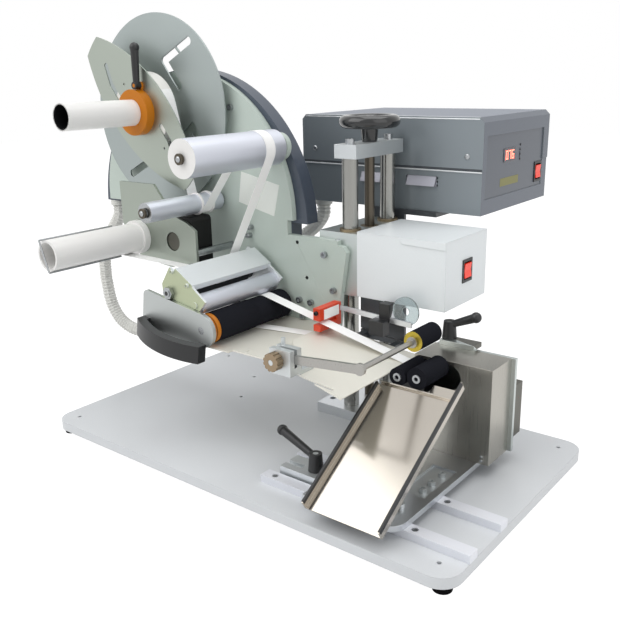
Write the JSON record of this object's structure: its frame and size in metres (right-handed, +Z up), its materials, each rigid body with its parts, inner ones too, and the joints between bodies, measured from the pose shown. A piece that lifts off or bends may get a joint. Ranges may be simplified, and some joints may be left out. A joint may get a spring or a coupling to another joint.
{
  "type": "round bottle labelling machine",
  "caption": "Benchtop round bottle labelling machine: a lifting head on twin columns peels labels over a plate onto bottles turned by rollers on a sliding carriage.",
  "frame": {"origin": "centre of the overall box on the plane the rubber feet stand on", "axes": "+X along the base to the bottle carriage, +Y away from the operator, +Z up"},
  "size_m": [0.9914, 0.696, 0.677],
  "materials": {
    "base_enamel": "light grey powder coat, fine texture",
    "black_rubber": "moulded rubber",
    "clear_anodised": "clear anodised aluminium",
    "bolt_steel": "stainless steel",
    "ground_steel": "ground hard chromed steel",
    "black_plastic": "glass filled nylon",
    "bronze": "turned bronze",
    "housing_enamel": "white powder coat",
    "head_enamel": "pale grey green enamel on aluminium plate",
    "slate_enamel": "slate blue grey powder coat",
    "control_enamel": "metallic grey powder coat",
    "brushed_sheet": "brushed stainless sheet",
    "motor_black": "black painted laminations",
    "panel_film": "printed polycarbonate film",
    "sensor_orange": "moulded plastic",
    "clear_disc": "clear acrylic",
    "conduit_pvc": "corrugated nylon conduit",
    "label_paper": "glassine backing paper with labels",
    "white_plastic": "turned white acetal",
    "collar_orange": "orange anodised aluminium",
    "drive_rubber": "ground rubber sleeve",
    "switch_red": "moulded polycarbonate",
    "dark_bracket": "dark grey enamel"
  },
  "bodies": {
    "base": {"base_plate": "base_enamel", "rubber_feet": "black_rubber", "slide_rails": "clear_anodised", "deck_screws": "bolt_steel", "column_base": "clear_anodised", "guide_columns": "ground_steel", "top_yoke": "clear_anodised"},
    "lift_wheel": {"lead_screw": "bolt_steel", "handwheel": "black_plastic"},
    "head": {"slide_block": "clear_anodised", "lift_bushings": "bronze", "housing_box": "housing_enamel", "housing_lid": "housing_enamel", "main_plate": "head_enamel", "back_casing": "slate_enamel", "axles_and_bolts": "bolt_steel", "rewind_bracket": "clear_anodised", "stepper_motor": "motor_black", "bearing_plate": "clear_anodised", "bow_handle": "black_plastic", "feed_tray": "brushed_sheet", "peel_plate": "brushed_sheet", "head_brackets": "dark_bracket", "sensor_rail": "dark_bracket", "fork_sensor": "sensor_orange", "guide_disc": "clear_disc", "control_shell": "control_enamel", "control_lid": "control_enamel", "control_panel": "panel_film", "switch_bezels": "black_plastic", "cable_conduit": "conduit_pvc", "conduit_glands": "conduit_pvc", "label_web": "label_paper", "arm_block": "clear_anodised"},
    "unwinder": {"unwind_tube": "white_plastic", "rear_disc": "clear_anodised", "front_flange": "clear_anodised", "clamp_collar": "collar_orange", "label_roll": "label_paper"},
    "collar_handle": {"collar_lever": "black_plastic"},
    "upper_roll": {"top_roller": "clear_anodised"},
    "idler": {"small_idler": "clear_anodised"},
    "press": {"press_frame": "clear_anodised"},
    "press_roll": {"press_roller": "clear_anodised"},
    "drive_roll": {"drive_roller": "drive_rubber"},
    "rewinder": {"rewind_spool": "white_plastic"},
    "swing_arm": {"pressure_arm": "bolt_steel"},
    "arm_roll": {"pressure_roller": "drive_rubber"},
    "knob": {"tension_knob": "clear_anodised"},
    "housing_switch": {"housing_rocker": "switch_red"},
    "control_switch": {"control_rocker": "switch_red"},
    "carriage": {"carriage_plate": "clear_anodised", "carriage_blocks": "clear_anodised", "chute": "brushed_sheet", "roller_cover": "brushed_sheet", "gear_unit": "clear_anodised"},
    "bottle_roll": {"bottle_roller": "drive_rubber"},
    "idle_roll": {"idle_roller": "drive_rubber"},
    "clamp_handle": {"carriage_lever": "black_plastic"},
    "stop_handle": {"stop_lever": "black_plastic"}
  },
  "joints": [
    {"name": "head_lift", "type": "slide", "parent": "base", "child": "head", "axis": [0, 0, 1], "range_m": [0, 0.09]},
    {"name": "handwheel_spin", "type": "hinge", "parent": "base", "child": "lift_wheel", "pos_m": [0.13969, 0.02, 0.505], "axis": [0, 0, 1], "range_deg": [-6500, 0]},
    {"name": "unwinder_spin", "type": "hinge", "parent": "head", "child": "unwinder", "pos_m": [-0.23431, -0.114, 0.516], "axis": [0, 1, 0], "continuous": true},
    {"name": "collar_lever_turn", "type": "hinge", "parent": "unwinder", "child": "collar_handle", "pos_m": [-0.22496, -0.134, 0.56002], "axis": [0, 1, 0], "range_deg": [-40, 60]},
    {"name": "top_roller_spin", "type": "hinge", "parent": "head", "child": "upper_roll", "pos_m": [0.01969, -0.134, 0.463], "axis": [0, 1, 0], "continuous": true},
    {"name": "small_idler_spin", "type": "hinge", "parent": "head", "child": "idler", "pos_m": [-0.11131, -0.134, 0.37], "axis": [0, 1, 0], "continuous": true},
    {"name": "press_lift", "type": "hinge", "parent": "head", "child": "press", "pos_m": [-0.04331, -0.134, 0.257], "axis": [0, -1, 0], "range_deg": [0, 10]},
    {"name": "press_roller_spin", "type": "hinge", "parent": "press", "child": "press_roll", "pos_m": [0.01064, -0.134, 0.24505], "axis": [0, 1, 0], "continuous": true},
    {"name": "drive_roller_spin", "type": "hinge", "parent": "head", "child": "drive_roll", "pos_m": [0.02669, -0.134, 0.21], "axis": [0, 1, 0], "continuous": true},
    {"name": "rewind_spin", "type": "hinge", "parent": "head", "child": "rewinder", "pos_m": [-0.22431, -0.234, 0.308], "axis": [0, 1, 0], "continuous": true},
    {"name": "pressure_arm_swing", "type": "hinge", "parent": "head", "child": "swing_arm", "pos_m": [0.19269, -0.267, 0.206], "axis": [0, -1, 0], "range_deg": [0, 25]},
    {"name": "pressure_roller_spin", "type": "hinge", "parent": "swing_arm", "child": "arm_roll", "pos_m": [0.32069, -0.114, 0.218], "axis": [0, 1, 0], "continuous": true},
    {"name": "tension_knob_turn", "type": "hinge", "parent": "head", "child": "knob", "pos_m": [0.19269, -0.284, 0.206], "axis": [0, 1, 0], "range_deg": [-180, 180]},
    {"name": "housing_rocker_tip", "type": "hinge", "parent": "head", "child": "housing_switch", "pos_m": [0.31819, 0.011, 0.288], "axis": [0, 1, 0], "range_deg": [-6, 6]},
    {"name": "control_rocker_tip", "type": "hinge", "parent": "head", "child": "control_switch", "pos_m": [0.29319, 0.311, 0.401], "axis": [0, 1, 0], "range_deg": [-6, 6]},
    {"name": "carriage_slide", "type": "slide", "parent": "base", "child": "carriage", "axis": [1, 0, 0], "range_m": [0, 0.08]},
    {"name": "bottle_roller_spin", "type": "hinge", "parent": "carriage", "child": "bottle_roll", "pos_m": [0.34169, -0.134, 0.176], "axis": [0, 1, 0], "continuous": true},
    {"name": "idle_roller_spin", "type": "hinge", "parent": "carriage", "child": "idle_roll", "pos_m": [0.31119, -0.134, 0.172], "axis": [0, 1, 0], "continuous": true},
    {"name": "carriage_lever_turn", "type": "hinge", "parent": "carriage", "child": "clamp_handle", "pos_m": [0.23669, -0.254, 0.055], "axis": [0, 0, 1], "range_deg": [-40, 60]},
    {"name": "stop_lever_turn", "type": "hinge", "parent": "carriage", "child": "stop_handle", "pos_m": [0.31769, -0.031, 0.205], "axis": [0, 0, 1], "range_deg": [0, 45]}
  ],
  "couplings": [
    {"joint": "handwheel_spin", "follows": "head_lift", "rad_per_m": -1256.6},
    {"joint": "press_roller_spin", "follows": "drive_roller_spin", "ratio": -1.5}
  ]
}
